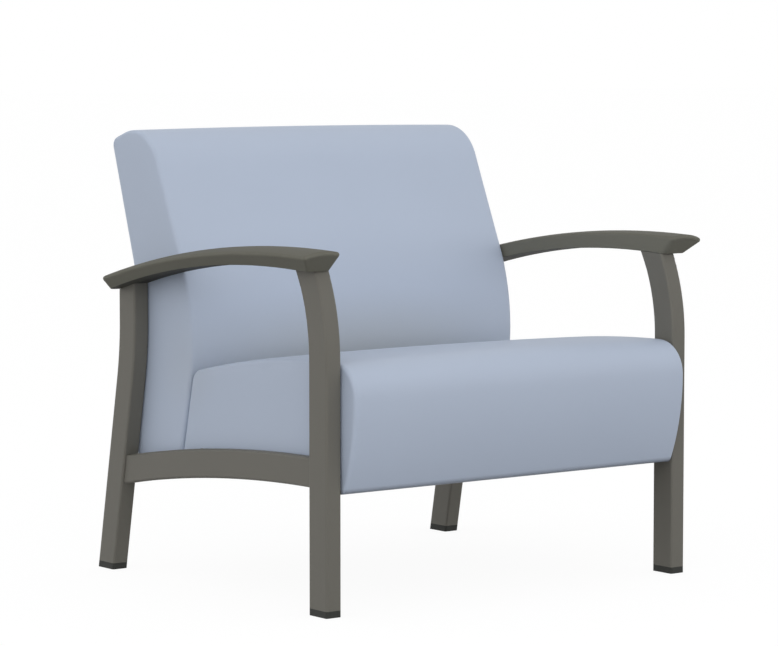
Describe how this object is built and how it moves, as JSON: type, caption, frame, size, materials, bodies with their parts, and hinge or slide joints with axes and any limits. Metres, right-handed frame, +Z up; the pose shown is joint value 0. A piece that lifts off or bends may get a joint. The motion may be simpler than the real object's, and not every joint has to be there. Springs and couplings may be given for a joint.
{
  "type": "bariatric guest chair",
  "caption": "Extra-wide guest chair: welded tube side frames with curved front legs and arched, crowned arms, a deep upholstered seat and a thick reclined upholstered back.",
  "frame": {"origin": "on the floor, under the middle of the chair's bounding box", "axes": "+Z up, -Y the way the sitter faces, +X to the sitter's left"},
  "size_m": [0.9132, 0.7672, 0.8263],
  "materials": {
    "vinyl": "smooth satin",
    "frame_paint": "satin powder coat",
    "arm_cap": "satin",
    "glide_plastic": "matte",
    "zinc_steel": "zinc plated",
    "plywood": "raw",
    "woven_backing": "woven",
    "foam": "open cell"
  },
  "bodies": {
    "root": {"arm_bar_left": "frame_paint", "arm_bar_right": "frame_paint", "arm_cap_left": "arm_cap", "arm_cap_right": "arm_cap", "arm_screws": "zinc_steel", "back_bolts": "zinc_steel", "back_bottom_rail": "plywood", "back_cover": "vinyl", "back_cross_rail": "frame_paint", "back_dust_cover": "woven_backing", "back_foam": "foam", "back_lower_rail": "plywood", "back_post_left": "frame_paint", "back_post_right": "frame_paint", "back_rear_panel": "plywood", "back_side_board_left": "plywood", "back_side_board_right": "plywood", "back_tee_nuts": "zinc_steel", "back_top_rail": "plywood", "back_upper_rail": "plywood", "back_washers": "zinc_steel", "back_webbing": "woven_backing", "front_cross_rail": "frame_paint", "front_leg_left": "frame_paint", "front_leg_right": "frame_paint", "glide_front_left": "glide_plastic", "glide_front_right": "glide_plastic", "glide_rear_left": "glide_plastic", "glide_rear_right": "glide_plastic", "leg_top_plates": "frame_paint", "rear_cross_rail": "frame_paint", "rear_leg_left": "frame_paint", "rear_leg_right": "frame_paint", "seat_bolts": "zinc_steel", "seat_centre_board": "plywood", "seat_cover": "vinyl", "seat_dust_cover": "woven_backing", "seat_foam": "foam", "seat_front_board": "plywood", "seat_mounting_blocks": "plywood", "seat_rear_board": "plywood", "seat_side_board_left": "plywood", "seat_side_board_right": "plywood", "seat_tee_nuts": "zinc_steel", "seat_washers": "zinc_steel", "seat_webbing_crosswise": "woven_backing", "seat_webbing_lengthwise": "woven_backing", "side_rail_left": "frame_paint", "side_rail_right": "frame_paint"}
  },
  "joints": []
}
